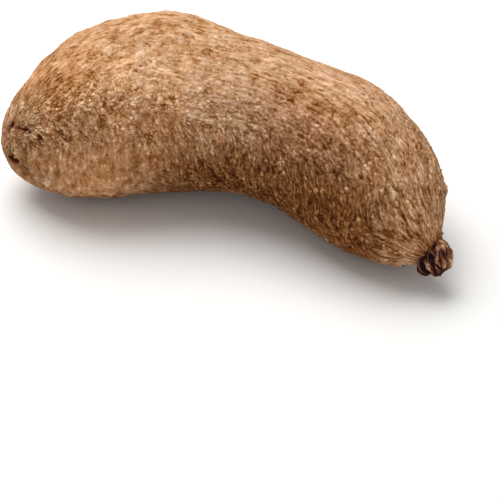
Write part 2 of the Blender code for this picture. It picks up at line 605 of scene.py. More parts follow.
@dataclass(frozen=True)
class Crack:
    """A dark split in the skin between two places on the unit sphere."""

    start: Triple
    end: Triple
    width: float
    depth: float

    def cut(self, sphere: Array, girth: float) -> Array:
        """How deep the crack is at each place: depth times a bell curve of the distance from its line, which
        is thin at both ends.

        Args:
            sphere: places on the unit sphere, already pushed about by a noise so that the line wanders.
            girth: the tuber's radius, which turns the sphere's distances to metres.

        Returns:
            Depths in metres, one for each place.
        """
        start, end = unit(self.start), unit(self.end)
        line = end - start
        t = np.clip((sphere - start) @ line / (line @ line), 0, 1)
        off = np.linalg.norm(sphere - start - t[:, None] * line, axis=1) * girth
        width = self.width * (0.2 + 0.8 * np.sin(math.pi * t) ** 0.7)
        return self.depth * np.exp(-((off / width) ** 2))


class Lie(Enum):
    """Which way the grain runs, and the chart that it is drawn on."""

    ALONG = "combed"
    CLIMBING = "twined"
    ROUND = "plain"
    GATHERED = "gathered"

    def sizes(self, long: float, wide: float) -> Triple:
        """The chart's steps for a pattern that long and that wide."""
        return (wide, long, long) if self is Lie.ROUND else (long, wide, wide)


class Pattern(NamedTuple):
    """A pattern in the bark: how long its marks are along the grain, how wide across it and how high."""

    long: float
    wide: float
    high: float

    def cells(self, places: Array, lie: Lie) -> Array:
        """The places of that way's chart, in the pattern's own steps."""
        return places / lie.sizes(self.long, self.wide)


class Dots(NamedTuple):
    """Round marks scattered over the skin, one to a cell at most."""

    spacing: float
    small: float  # the least radius
    large: float  # the greatest
    high: float
    bare: float  # the share of cells that stay empty

    def bells(self, seed: int, places: Array) -> tuple[Array, Array]:
        """Bell curves round the cells' seeds, each as wide as its own number makes it.

        Args:
            seed: which random seeds.
            places: where to read them, three to a row.

        Returns:
            The curves' heights from 0 to 1, and the nearest seed's own number.
        """
        near, _, own = Lattice(seed).grains(places / self.spacing)
        radius = between((self.small, self.large), own)
        return np.exp(-((near * self.spacing / radius) ** 2)) * (own > self.bare), own


@dataclass(frozen=True)
class Shades:
    """How far each part of the relief shifts the skin's tone, as a share of its ramp of colours."""

    middle: float = 0.52
    grain: float = 0.34
    tone: float = 0.35
    vigour: float = 0.06
    patch: float = 0.10
    clump: float = 0.08
    ripple: float = 0.11
    mottling: Pair = (1.42, 0.55)  # those three times this, at the tip and at the crown
    fibre: float = 0.14
    blot: float = 0.32
    nub: Pair = (0.32, 0.20)  # at the tip and at the crown
    grit: float = 0.03
    dash: float = -0.30
    wart: float = -0.25


@dataclass(frozen=True)
class Bark:
    """The skin's fine relief. Sizes are in millimetres, because they are small."""

    fold: Pattern = Pattern(long=15.0, wide=15.0, high=0.28)
    clump: Pattern = Pattern(long=6.0, wide=6.0, high=0.16)
    grain: Pattern = Pattern(long=2.8, wide=1.7, high=0.32)
    gap_share: float = 0.30  # how much of a grain its gap takes
    bend: Pair = (5.0, 1.25)  # how the grain wanders: over what length, and how far
    liveliness: Patches = Patches(46, 9.0, 0.45)  # where the grain stands higher or lower
    calm_top: float = 0.50  # how much weaker the grain is on top
    calm_low: float = 0.62  # and on the smooth low belly
    dash: Pattern = Pattern(long=6.0, wide=1.5, high=-0.34)  # dark dashes on top
    fibre: Pattern = Pattern(long=9.0, wide=1.5, high=0.22)
    ripple: Pattern = Pattern(long=9.0, wide=2.8, high=0.24)
    grit: Pattern = Pattern(long=0.95, wide=0.95, high=0.05)
    blot: Dots = Dots(spacing=6.5, small=1.43, large=3.055, high=0.16, bare=0.0)  # soft scurf
    pock: Dots = Dots(spacing=8.5, small=0.35, large=1.05, high=-0.40, bare=0.5)  # left by rootlets
    nub: Dots = Dots(spacing=4.4, small=0.6072, large=1.2144, high=0.20, bare=0.45)  # pale nubs
    shades: Shades = Shades()
    rough_patch: Spot = Spot((-0.45, -0.75, 0.50), 0.50, 0.35)
    neck: Spot = Spot((0.978, 0.140, -0.170), 0.80, 0.7)  # where fibres gather, more drawn by so much
    warts: tuple[Spot, ...] = (
        Spot((0.782, 0.316, 0.537), 0.040, 0.9),
        Spot((0.855, 0.506, 0.117), 0.032, 0.8),
        Spot((-0.420, 0.860, 0.290), 0.045, 0.8),
    )
    cracks: tuple[Crack, ...] = (
        Crack((-0.903, -0.268, 0.340), (-0.832, -0.445, 0.330), 0.0010, 0.0018),
        Crack((-0.930, -0.175, 0.328), (-0.890, -0.295, 0.338), 0.0010, 0.0009),
        Crack((-0.953, -0.066, 0.296), (-0.936, -0.144, 0.318), 0.0015, 0.0022),
        Crack((-0.993, -0.108, -0.045), (-0.950, -0.310, -0.012), 0.0020, 0.0024),
        Crack((-0.938, -0.345, -0.045), (-0.893, -0.440, -0.100), 0.0010, 0.0007),
        Crack((-0.800, -0.508, 0.332), (-0.783, -0.552, 0.265), 0.0008, 0.0012),
        Crack((-0.668, -0.655, 0.352), (-0.625, -0.749, 0.215), 0.0007, 0.0009),
        Crack((-0.441, -0.826, 0.351), (-0.438, -0.832, 0.340), 0.0009, 0.0009),
        Crack((0.183, -0.955, 0.240), (0.187, -0.976, 0.105), 0.0007, 0.0009),
        Crack((0.215, -0.965, 0.060), (0.222, -0.970, -0.060), 0.0007, 0.0008),
    )
    crack_wander: float = 0.010  # how far their lines stray, on the unit sphere
    crack_girth: float = 0.053
    back_top: Patches = Patches(4, 28.0, 0.34)  # how unevenly the top's grain reaches down the back

    def lie(self, chart: SkinChart) -> dict[Lie, Array]:
        """Which way the grain runs at each place: along the top, climbing at the flanks, and round below. On
        the back the top's grain reaches further down, and unevenly. At the crown it gathers to the knob.

        Args:
            chart: the places.

        Returns:
            For each way, a share. The shares' squares add up to one, so that no mixture looks flat.
        """
        back = ease(chart.sphere[:, 1], 0.05, 0.65)
        stray = chart.height + 0.11 * Lattice(3).swell(chart.plain / 17)
        stray += back * (0.32 + chart.patches((self.back_top,)))
        along = ease(stray, 0.34, 0.54)
        round_low = ease(stray, 0.28, 0.08)
        to_knob = np.linalg.norm(chart.sphere - unit(self.neck.place), axis=1)
        to_knob = to_knob + 0.10 * Lattice(5).swell(chart.plain / 12)
        gathered = ease(to_knob, self.neck.spread, 0.55 * self.neck.spread)
        shares = np.stack((along, 1 - along - round_low, round_low, np.zeros_like(along))) * (1 - gathered)
        shares[-1] = gathered
        return dict(zip(Lie, shares / np.linalg.norm(shares, axis=0)))

    @staticmethod
    def regions(chart: SkinChart) -> tuple[Array, Array, Array, Array]:
        """Smooth masks from 0 to 1: products of steps in the skin's height and its place along the tuber.

        Args:
            chart: the places.

        Returns:
            The flanks, the top short of the crown, the smooth low belly, and how far crownwards it is.
        """
        flank = ease(chart.height, 0.88, 0.60) * ease(chart.height, -0.30, 0.05)
        top = ease(chart.height, 0.50, 0.86) * ease(chart.along, 0.85, 0.45)
        smooth_low = ease(chart.height, 0.34, 0.00) * ease(chart.along, 0.10, -0.35)
        return flank, top, smooth_low, ease(chart.along, -0.1, 0.4)

    def relief(self, chart: SkinChart) -> tuple[Array, dict[str, Array], Array]:
        """Adds up folds, grains, fibres, dashes, blots, grit, pocks, nubs, warts and cracks.

        A grain is a dome. Its tone is its own number cubed: few pale ones on the flanks and few dark ones on
        top and underneath. Fibres are noise drawn out along the grain. A dash is the bottom of a thin noise
        where a broad noise allows one. Blots, pocks, nubs and warts are bell curves.

        Args:
            chart: the places.

        Returns:
            Heights in metres, the numbers that the material reads, and how rough the skin is.
        """
        wander = Lattice(60).drift(chart.plain / self.bend[0]) * self.bend[1]
        fold = Lattice(21).rough(chart.plain / self.fold.long, 2)
        clump = Lattice(22).rough(chart.plain / self.clump.long, 2)
        patch = Lattice(48).rough(chart.plain / 8, 3)
        grit = Lattice(45).swell(chart.plain / self.grit.long)
        lies = self.lie(chart)
        flank, top, smooth_low, crownwards = self.regions(chart)
        gathered = lies[Lie.GATHERED] ** 2
        vigour = (1 - self.calm_top * top) * (1 - self.calm_low * smooth_low)
        vigour = vigour * (0.86 + chart.patches((self.liveliness,))) + chart.spots((self.rough_patch,))
        drawn = (0.55 + 0.45 * ease(chart.along, -0.30, 0.20)) * (1 - 0.80 * smooth_low)
        drawn *= 1 + self.neck.amount * gathered

        grain, tone, fibre, ripple = (np.zeros(len(chart.sphere), np.float32) for _ in range(4))
        for seed, (lie, share) in enumerate(lies.items()):
            here = share > 0.02
            places = (getattr(chart, lie.value) + wander)[here]
            dome, own = Lattice(31 + seed).domes(self.grain.cells(places, lie), self.gap_share)
            grain[here] += share[here] * (dome - 0.5)
            dark_tail, light_tail = 0.25 - (1 - own) ** 3, own**3 - 0.25
            tone[here] += share[here] * (dark_tail + (light_tail - dark_tail) * flank[here])
            fibre[here] += share[here] * Lattice(51 + seed).rough(self.fibre.cells(places, lie), 2)
            ripple[here] += share[here] * Lattice(55 + seed).swell(self.ripple.cells(places, lie))

        dash = Lattice(41).swell(self.dash.cells(chart.combed + wander, Lie.ALONG))
        dash = ease(dash, -0.28, -0.62)
        dash *= ease(Lattice(42).rough(chart.plain / 8, 2), -0.10, 0.35) * (0.25 + 0.75 * lies[Lie.ALONG])
        blot, blot_tone = self.blot.bells(49, chart.plain)
        blot = blot * blot_tone * (0.35 + 0.65 * smooth_low)
        pock, _ = self.pock.bells(47, chart.plain)
        nub = self.nub.bells(58, chart.plain)[0] * (1 - 0.85 * top) * (1 - gathered)
        wart = chart.spots(self.warts)
        ragged = wander[:, [1, 2, 0]] / self.bend[1] + 0.35 * Lattice(64).drift(chart.plain / 2.2, 2)
        strayed = chart.sphere + self.crack_wander * ragged
        cracks = np.max([crack.cut(strayed, self.crack_girth) for crack in self.cracks], axis=0)

        height = fold * self.fold.high + clump * self.clump.high + grain * vigour * self.grain.high
        height += fibre * drawn * self.fibre.high + ripple * self.ripple.high * (1 - 0.5 * smooth_low)
        height += blot * self.blot.high + nub * self.nub.high + grit * self.grit.high + wart
        height += dash * self.dash.high + pock * self.pock.high - cracks / MM
        shade = self.shades
        mottling = shade.patch * patch + shade.clump * clump + shade.ripple * ripple
        crest = shade.middle + (shade.grain * grain + shade.tone * tone) * vigour
        crest += shade.vigour * (vigour - 1)
        crest += np.interp(crownwards, (0, 1), shade.mottling) * mottling + shade.fibre * fibre * drawn
        crest += shade.blot * blot + np.interp(crownwards, (0, 1), shade.nub) * nub
        crest += shade.grit * grit + shade.dash * dash + shade.wart * wart
        values = {
            "crest": crest,
            "wound": np.maximum(np.clip(cracks / 0.0010, 0, 1), 0.6 * pock),
            "climbing": lies[Lie.CLIMBING] ** 2,
            "round_low": lies[Lie.ROUND] ** 2,
            "at_neck": gathered,
            "drawn": drawn,
        }
        return height * MM, values, np.clip(vigour, 0.05, None)


class Zone(Enum):
    """The lengths that the skin is made in, so that each stays light enough to handle."""

    TIP = "tip"
    BELLY = "belly"
    WAIST = "waist"
    CROWN = "crown"


def linear(code: str) -> tuple[float, float, float, float]:
    """Turns an sRGB hex colour to the linear one that shaders take: v/12.92 when dark, else a 2.4 power.

    Args:
        code: six hex digits after a hash sign.

    Returns:
        Linear red, green and blue, and a full alpha.
    """
    shares = [int(code[k : k + 2], 16) / 255 for k in (1, 3, 5)]
    red, green, blue = (v / 12.92 if v <= 0.04045 else ((v + 0.055) / 1.055) ** 2.4 for v in shares)
    return red, green, blue, 1.0


@dataclass(frozen=True)
class Surface:
    """A material whose nodes are added one by one and joined to its one shader."""

    material: Material

    @classmethod
    def new(cls, name: str, roughness: float, ior: float, gloss: float) -> Surface:
        """Starts a material, with its even values on the shader's own sockets.

        Args:
            name: the material's name.
            roughness: how matt it is.
            ior: its index of refraction.
            gloss: the specular level: 0.5 for a closed surface, less where open pores swallow the light.

        Returns:
            The surface, without nodes of its own so far.
        """
        material = bpy.data.materials.new(name)
        material.use_nodes = True
        surface = cls(material)
        surface.finish({"Roughness": roughness, "IOR": ior, "Specular IOR Level": gloss})
        return surface

    def join(self, node: Node, inputs: Values) -> None:
        """Sets or links a node's inputs.

        Args:
            node: the node.
            inputs: for each input, by its name or its number among those in use, a value, an output to link,
                or a node, whose first output in use is linked.
        """
        open_inputs = [socket for socket in node.inputs if socket.enabled]
        for key, value in inputs.items():
            named = (socket for socket in open_inputs if socket.name == key)
            target = open_inputs[key] if isinstance(key, int) else next(named)
            if isinstance(value, Node):
                value = next(socket for socket in value.outputs if socket.enabled)
            if isinstance(value, NodeSocket):
                self.material.node_tree.links.new(value, target)
            else:
                target.default_value = value

    def add(self, kind: str, inputs: Values | None = None, stops: Stops = (), **settings: object) -> Node:
        """Adds one node with its settings and links.

        Args:
            kind: the node's type, without the word ShaderNode that each one starts with.
            inputs: what its inputs are joined to.
            stops: for a ramp, its places from 0 to 1 and their hex colours.
            settings: the node's own properties.

        Returns:
            The node.
        """
        node = self.material.node_tree.nodes.new(f"ShaderNode{kind}")
        for name, value in settings.items():
            setattr(node, name, value)
        self.join(node, inputs or {})
        for index, (place, code) in enumerate(stops):
            elements = node.color_ramp.elements
            element = elements[index] if index < 2 else elements.new(place)
            element.position = place
            element.color = linear(code)
        return node

    def streak(
        self, chart: NodeSocket, stretch: Triple, sizes: Pair, height: NodeSocket
    ) -> tuple[Node, Node]:
        """Adds stripes and specks to how high each place stands.

        Args:
            chart: the vector that both follow.
            stretch: what draws the stripes out along it.
            sizes: how wide a stripe and a speck are.
            height: how high each place stands.

        Returns:
            The level that picks a tone, from 0 to 1, and the stripes and specks alone.
        """
        drawn = self.add("VectorMath", {0: chart, 1: stretch}, operation="MULTIPLY")
        stripes, specks = (
            self.add("TexNoise", {"Vector": vector, "Scale": 1 / size, "Detail": 3.0})
            for vector, size in zip((drawn, chart), sizes)
        )
        mottle = self.add("Math", {0: stripes, 1: specks}, operation="ADD")
        level = self.add("Math", {0: mottle, 1: 0.9, 2: height}, operation="MULTIPLY_ADD")
        return self.add("Math", {0: level, 1: -0.9}, operation="ADD", use_clamp=True), mottle

    def finish(self, inputs: Values) -> Material:
        """Sets or links the shader's own inputs, and hands over the material."""
        self.join(self.material.node_tree.nodes["Principled BSDF"], inputs)
        return self.material


@dataclass(frozen=True)
class DryPeriderm:
    """Corky outer bark of a tuber, dried in the air: matt, tan on its crests and dark brown in its gaps."""

    # The aired ramp is also the painted-lit skin on top, and the soiled ramp the painted-shaded skin
    # underneath.
    aired: Stops = (
        (0.00, "#663510"), (1.00, "#F5DABD"), (0.28, "#97673B"), (0.50, "#BD936E"), (0.74, "#DAB697"),
    )
    soiled: Stops = (
        (0.00, "#280E02"), (1.00, "#CEA57C"), (0.28, "#502A10"), (0.50, "#7A4D28"), (0.74, "#9B7047"),
    )
    stains: Stops = (
        (0.00, "#FFE2B8"), (1.00, "#E6EAD8"), (0.35, "#FFF1E0"), (0.58, "#FFFEFC"), (0.78, "#FFF6F8"),
    )
    split: str = "#501B05"
    fleck_share: float = 0.40
    thread_share: float = 0.55
    roughness: float = 0.88
    ior: float = 1.45
    gloss: float = 0.06
    fleck_size: float = 1.7 * MM
    thread_width: float = 1.5 * MM  # real fibres are a tenth of this, too fine to show
    thread_stretch: float = 0.2
    bump_height: float = 0.12 * MM

    def build(self) -> Material:
        """Wires the skin: how high a place is in its grain, shifted by flecks and drawn threads, picks a tone
        from the aired and the soiled ramp, which are also a painted-lit and a painted-shaded copy of the
        skin.
        The weather, with its painted shade underneath, mixes those two, and the tint picks a stain.

        Returns:
            The material.
        """
        # Dry cork scatters light evenly, so it has no sheen and its colour carries the detail.
        surface = Surface.new("dry_yam_periderm", self.roughness, self.ior, self.gloss)
        charts = {lie: surface.add("Attribute", attribute_name=lie.value).outputs["Vector"] for lie in Lie}
        crest, climbing, round_low, at_neck, drawn, weather, tint, wound = (
            surface.add("Attribute", attribute_name=key).outputs["Fac"]
            for key in ("crest", "climbing", "round_low", "at_neck", "drawn", "weather", "tint", "wound")
        )
        threads = {}
        for lie, chart in charts.items():
            stretch = lie.sizes(self.thread_stretch, 1.0)
            along = surface.add("VectorMath", {0: chart, 1: stretch}, operation="MULTIPLY")
            settings = {"Vector": along, "Scale": 1 / self.thread_width, "Detail": 0.5, "Distortion": 0.4}
            threads[lie] = surface.add("TexNoise", settings)
        thread = threads[Lie.ALONG]
        for share, lie in ((climbing, Lie.CLIMBING), (round_low, Lie.ROUND), (at_neck, Lie.GATHERED)):
            thread = surface.add("Mix", {"Factor": share, "A": thread, "B": threads[lie]})
        thread = surface.add("Math", {0: thread, 1: -0.5}, operation="ADD")
        thread = surface.add("Math", {0: thread, 1: drawn}, operation="MULTIPLY")
        flecks = {"Vector": charts[Lie.ROUND], "Scale": 1 / self.fleck_size, "Detail": 1.0}
        fleck = surface.add("Math", {0: surface.add("TexNoise", flecks), 1: -0.5}, operation="ADD")
        fleck = surface.add("Math", {0: fleck, 1: self.fleck_share}, operation="MULTIPLY")
        mottle = surface.add("Math", {0: thread, 1: self.thread_share, 2: fleck}, operation="MULTIPLY_ADD")
        level = surface.add("Math", {0: mottle, 1: crest}, operation="ADD", use_clamp=True)
        soiled, aired = (surface.add("ValToRGB", {"Fac": level}, ramp) for ramp in (self.soiled, self.aired))
        # Painted shade: the weather picks the dark soiled ramp underneath and the pale aired ramp on top.
        skin = surface.add("Mix", {"Factor": weather, "A": soiled, "B": aired}, data_type="RGBA")
        stain = surface.add("ValToRGB", {"Fac": tint}, self.stains)
        stained = {"Factor": 1.0, "A": skin, "B": stain}
        stained = surface.add("Mix", stained, data_type="RGBA", blend_type="MULTIPLY")
        split = {"Factor": wound, "A": stained, "B": linear(self.split)}
        split = surface.add("Mix", split, data_type="RGBA")
        bump = surface.add("Bump", {"Strength": 0.8, "Distance": self.bump_height, "Height": mottle})
        return surface.finish({"Base Color": split, "Normal": bump})


@dataclass(frozen=True)
class WoundCallus:
    """Healed flesh where growth stopped: dry brown and pinkish ridges, with a smear of yellow-green."""

    ridges: Stops = ((0.00, "#2A1206"), (1.00, "#E0B892"), (0.35, "#74482A"), (0.62, "#AC7E55"))
    smear: Stops = ((0.00, "#443814"), (1.00, "#BCA868"), (0.50, "#7E6E34"))
    lip: str = "#C4856C"
    pit: str = "#3C1203"
    roughness: float = 0.74
    ior: float = 1.45
    gloss: float = 0.1
    stripe_stretch: Triple = (1.0, 0.2, 1.0)
    sizes: Pair = (1.3 * MM, 0.8 * MM)  # a stripe's width and a speck's
    bump_height: float = 0.15 * MM

    def build(self) -> Material:
        """Wires the callus: stripes pick a tone from the ridges' ramp or the smear's, the lip is pinkish and
        the pits are near black.

        Returns:
            The material.
        """
        # A callus is harder and a little smoother than bark, so it catches a faint broad shine.
        surface = Surface.new("dried_wound_callus", self.roughness, self.ior, self.gloss)
        pad = surface.add("Attribute", attribute_name="pad").outputs["Vector"]
        ridge, green, lip, hollow = (
            surface.add("Attribute", attribute_name=key).outputs["Fac"]
            for key in ("ridge", "green", "lip", "hollow")
        )
        level, mottle = surface.streak(pad, self.stripe_stretch, self.sizes, ridge)
        brown, smear = (surface.add("ValToRGB", {"Fac": level}, stops) for stops in (self.ridges, self.smear))
        colour = surface.add("Mix", {"Factor": green, "A": brown, "B": smear}, data_type="RGBA")
        for share, code in ((lip, self.lip), (hollow, self.pit)):
            colour = surface.add("Mix", {"Factor": share, "A": colour, "B": linear(code)}, data_type="RGBA")
        bump = surface.add("Bump", {"Strength": 0.8, "Distance": self.bump_height, "Height": mottle})
        return surface.finish({"Base Color": colour, "Normal": bump})


@dataclass(frozen=True)
class DeadWood:
    """The dead foot of last year's stem: purple-brown wood, weathered tan along its strands."""

    tones: Stops = (
        (0.00, "#180407"), (1.00, "#D6AE88"), (0.30, "#431A19"), (0.52, "#7A4C36"), (0.76, "#AA7E5E"),
    )
    roughness: float = 0.82
    ior: float = 1.5
    gloss: float = 0.12
    strand_stretch: Triple = (0.25, 1.0, 1.0)
    sizes: Pair = (0.9 * MM, 0.8 * MM)  # a strand's width and a speck's
    bump_height: float = 0.15 * MM

    def build(self) -> Material:
        """Wires the wood: dark in its hollows, brown on its body and tan along the tops of its strands.

        Returns:
            The material.
        """
        # Weathered wood is matt, with a tan bloom on what stands proud and near black between.
        surface = Surface.new("weathered_stem_wood", self.roughness, self.ior, self.gloss)
        comb = surface.add("Attribute", attribute_name="comb").outputs["Vector"]
        crest = surface.add("Attribute", attribute_name="crest").outputs["Fac"]
        level, grain = surface.streak(comb, self.strand_stretch, self.sizes, crest)
        colour = surface.add("ValToRGB", {"Fac": level}, self.tones)
        bump = surface.add("Bump", {"Strength": 0.9, "Distance": self.bump_height, "Height": grain})
        return surface.finish({"Base Color": colour, "Normal": bump})


@dataclass(frozen=True)
class CorkScale:
    """Loose scales of cork and dry rootlets: each has its own shade between two browns."""

    name: str
    dark: str
    light: str
    roughness: float = 0.9
    ior: float = 1.45
    gloss: float = 0.1
    speck_size: float = 0.5 * MM
    bump_height: float = 0.08 * MM

    def build(self) -> Material:
        """Wires the scale: its own shade, broken up by specks.

        Returns:
            The material.
        """
        # A torn scale of cork is as matt as the skin it stands on.
        surface = Surface.new(self.name, self.roughness, self.ior, self.gloss)
        shade = surface.add("Attribute", attribute_name="shade").outputs["Fac"]
        place = surface.add("TexCoord").outputs["Object"]
        specks = surface.add("TexNoise", {"Vector": place, "Scale": 1 / self.speck_size, "Detail": 2.0})
        mixed = surface.add("Math", {0: specks, 1: 0.6, 2: shade}, operation="MULTIPLY_ADD")
        share = surface.add("Math", {0: mixed, 1: -0.3}, operation="ADD", use_clamp=True)
        browns = {"Factor": share, "A": linear(self.dark), "B": linear(self.light)}
        colour = surface.add("Mix", browns, data_type="RGBA")
        bump = surface.add("Bump", {"Strength": 0.6, "Distance": self.bump_height, "Height": specks})
        return surface.finish({"Base Color": colour, "Normal": bump})


@dataclass(frozen=True)
class MattPaper:
    """The studio's floor: a roll of matt white paper, with a faint tooth."""

    white: str = "#F6F5F3"
    shade: str = "#F1F0EE"
    roughness: float = 0.95
    ior: float = 1.45
    gloss: float = 0.5
    tooth_size: float = 2.0 * MM

    def build(self) -> Material:
        """Wires the paper: two near whites mixed by a fine noise.

        Returns:
            The material.
        """
        # Paper has no gloss to speak of, so the tuber's shadow lies on it softly with nothing mirrored.
        surface = Surface.new("matt_backdrop_paper", self.roughness, self.ior, self.gloss)
        place = surface.add("TexCoord").outputs["Object"]
        tooth = surface.add("TexNoise", {"Vector": place, "Scale": 1 / self.tooth_size})
        whites = {"Factor": tooth, "A": linear(self.shade), "B": linear(self.white)}
        return surface.finish({"Base Color": surface.add("Mix", whites, data_type="RGBA")})


def dress(piece: Object, replaces_tuber: bool = False) -> None:
    """Makes a piece ride on the tuber's body, and reports it.

    Args:
        piece: the finished piece.
        replaces_tuber: whether it stands for the solid too.
    """
    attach(piece, BODY)
    if replaces_tuber:
        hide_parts(TUBER_NODE)
    triangles = sum(len(face.vertices) - 2 for face in piece.data.polygons)
    log.info("%s: %d triangles", piece.name, triangles)


@dataclass
class YamSkin:
    """The whole skin: the form's surface with the bark's relief, made in four lengths that meet exactly."""

    form: TuberForm
    bark: Bark
    rings: int = 612
    meridians: int = 640
    collar: Triple = (0.0112, 0.0020, 0.0008)  # radius, width and height at the knob
    collar_uneven: Pair = (0.004, 0.6)  # over what length its height varies, and by what share
    collar_fade: float = 0.0022  # how far past it the skin is darker
    collar_shade: float = -0.12
    # How much less aired, and so darker, the skin is where it meets the knob.
    collar_darkening: float = 0.25
    scar_bed: float = 0.0018  # how much lower the skin lies under the scar's pad
    scar_rim: Pair = (0.0088, 0.0070)  # where it starts to, and where it lies that low
    soiled_to_aired: Pair = (-0.75, 1.0)  # from height -1 underneath to 1 on top, where it is all of one: soil and painted shade below, aired skin and painted light above
    grime: tuple[Patches, ...] = (Patches(91, 20.0, 0.16), Patches(92, 6.0, 0.06))
    plain_tint: Pair = (0.60, 0.48)  # where the skin is soiled and painted shaded, and where it is aired and painted lit
    staining: tuple[Patches, ...] = (Patches(71, 26.0, 0.16), Patches(72, 7.0, 0.14))
    # The darker spots are part soil, part painted shadow where the waist and the shoulder turn under; the
    # lighter ones are painted light at the low belly and the crown end.
    soil: tuple[Spot, ...] = (  # darker with soil and painted shadow, lighter with painted light
        Spot((0.52, -0.66, 0.54), 0.42, -0.40),
        Spot((0.72, -0.69, 0.05), 0.42, -0.85),
        Spot((0.24, -0.88, -0.40), 0.42, -0.95),
        Spot((-0.45, -0.80, -0.46), 0.54, 1.02),
        Spot((0.98, -0.05, -0.20), 0.34, 0.80),
        Spot((-0.93, -0.32, 0.15), 0.40, -0.20),
        Spot((0.02, -0.90, 0.42), 0.30, 0.20),
        Spot((0.10, 0.92, -0.35), 0.50, -0.30),
    )
    # These spots are part paler outer cork, darker where it is gone, part a painted highlight on the upper
    # front and painted shadow under the waist and the shoulder.
    cork_bloom_and_painted_light: tuple[Spot, ...] = (  # paler or missing outer cork, a painted highlight and painted shadow
        Spot((-0.24, -0.60, 0.76), 0.36, 0.17),
        Spot((-0.27, -0.58, 0.77), 0.17, 0.13),
        Spot((-0.66, -0.46, 0.59), 0.25, -0.11),
        Spot((0.76, -0.30, 0.56), 0.34, -0.07),
        Spot((0.42, 0.02, 0.90), 0.30, 0.07),
        Spot((0.47, -0.30, 0.83), 0.20, -0.12),
        Spot((-0.66, 0.14, 0.74), 0.20, -0.06),
        Spot((0.34, -0.85, -0.42), 0.30, -0.12),
        Spot((0.82, -0.57, 0.00), 0.36, -0.05),
        Spot((-0.76, -0.63, 0.10), 0.26, -0.04),
    )
    stain: tuple[Spot, ...] = (  # olive where it is more, ochre where it is less
        Spot((0.46, -0.66, 0.60), 0.36, 0.40),
        Spot((-0.80, -0.10, 0.60), 0.24, -0.25),
        Spot((-0.62, -0.52, 0.60), 0.26, -0.15),
        Spot((-0.15, -0.93, 0.30), 0.35, -0.15),
        Spot((0.35, 0.02, 0.93), 0.45, 0.16),
        Spot((-0.20, -0.96, -0.10), 0.34, -0.22),
        Spot((0.86, -0.46, 0.10), 0.55, -0.25),
        Spot((-0.65, -0.74, 0.00), 0.40, -0.14),
        Spot((-0.10, -0.58, 0.80), 0.42, -0.20),
    )
    points: Array = field(init=False)
    normals: Array = field(init=False)
    values: dict[str, Array] = field(init=False)
    vigour: Array = field(init=False)

    def __post_init__(self) -> None:
        """Works out the grid once, in rings at even steps over the skin. The trim stands on it too."""
        angles, _, skin, _ = self.form.lengths()
        ring_angles = np.interp(np.linspace(0, skin[-1], self.rings + 1), skin, angles)
        chart = SkinChart.of(self.form, sphere_grid(ring_angles, self.meridians))
        smooth = self.form.surface(chart.sphere)
        layout = (self.rings + 1, self.meridians, 3)
        outwards = grid_normals(smooth.reshape(layout)).reshape(-1, 3)
        height, values, vigour = self.bark.relief(chart)
        height, collar = self.raise_collar(smooth, height)
        points = self.dish(smooth + outwards * height[:, None])
        points[:, 2] = np.maximum(points[:, 2], 0.0)
        self.points = points.reshape(layout)
        self.normals = grid_normals(self.points)
        self.vigour = vigour.reshape(layout[:2])
        # Painted shade underneath and painted light on top, and less aired where the skin meets the knob.
        weather = self.weather(chart) * (1 - self.collar_darkening * collar)
        self.values = values | {lie.value: getattr(chart, lie.value) * MM for lie in Lie}
        # The crest takes the cork bloom's painted highlight and painted shadow, and is darker at the knob's
        # collar.
        self.values["crest"] = values["crest"] + chart.spots(self.cork_bloom_and_painted_light) + self.collar_shade * collar
        self.values["weather"] = weather
        self.values["tint"] = self.tint(chart, weather)

    def raise_collar(self, smooth: Array, height: Array) -> tuple[Array, Array]:
        """Swells the skin where it meets the knob: a bell curve of the distance from the knob's middle.

        Args:
            smooth: places on the form.
            height: the relief so far.

        Returns:
            The new relief, and how much of the collar there is at each place, from 0 to 1.
        """
        radius, width, rise = self.collar
        away = np.linalg.norm(smooth - self.form.knob_middle(), axis=1)
        length, share = self.collar_uneven
        uneven = 1 + share * Lattice(81).swell(smooth / length)
        bell = np.exp(-(((away - radius) / width) ** 2))
        past = np.maximum(away - radius, 0) / self.collar_fade
        return height + rise * bell * uneven, np.exp(-(past**2))

    def dish(self, points: Array) -> Array:
        """Pushes places inside the scar's ball out to its surface, and lower still under the pad.

        Args:
            points: places on the skin.

        Returns:
            The places, dished.
        """
        middle = self.form.dish_middle()
        outwards = unit(self.form.scar_direction)
        ray = points - middle
        reach = np.linalg.norm(ray, axis=1)
        off_axis = np.linalg.norm(ray - (ray @ outwards)[:, None] * outwards, axis=1)
        bed = self.form.dish_radius + self.scar_bed * ease(off_axis, *self.scar_rim)
        facing = ray @ outwards < 0
        inside = facing & (reach < bed)
        pushed = middle + ray * (bed / np.maximum(reach, 1e-9))[:, None]
        return np.where(inside[:, None], pushed, points)

    def weather(self, chart: SkinChart) -> Array:
        """How aired the skin is: lighter on top and darker underneath, part soil and part painted shade, in
        uneven patches and painted spots.
        """
        height = chart.height + chart.patches(self.grime) + chart.spots(self.soil)
        return ease(height, *self.soiled_to_aired)

    def tint(self, chart: SkinChart, weather: Array) -> Array:
        """Which stain the skin has: ochre at 0, none past the middle, then a blush, and olive at 1."""
        tint = between(self.plain_tint, weather) + chart.patches(self.staining)
        return np.clip(tint + chart.spots(self.stain), 0, 1)

    def choose(self, draw: np.random.Generator, count: int, weights: Array) -> tuple[Array, Array, Array]:
        """Draws points of the grid, none of them twice, by their weight and the room that they have.

        Args:
            draw: where the random numbers come from.
            count: how many are wanted.
            weights: how likely a place is, for each point or each ring.

        Returns:
            The points' numbers, places and normals.
        """
        room = np.linalg.norm(np.roll(self.points, -1, axis=1) - self.points, axis=2)
        chances = (weights * room).ravel()
        chosen = draw.choice(chances.size, size=count, replace=False, p=chances / chances.sum())
        return chosen, self.points.reshape(-1, 3)[chosen], self.normals.reshape(-1, 3)[chosen]

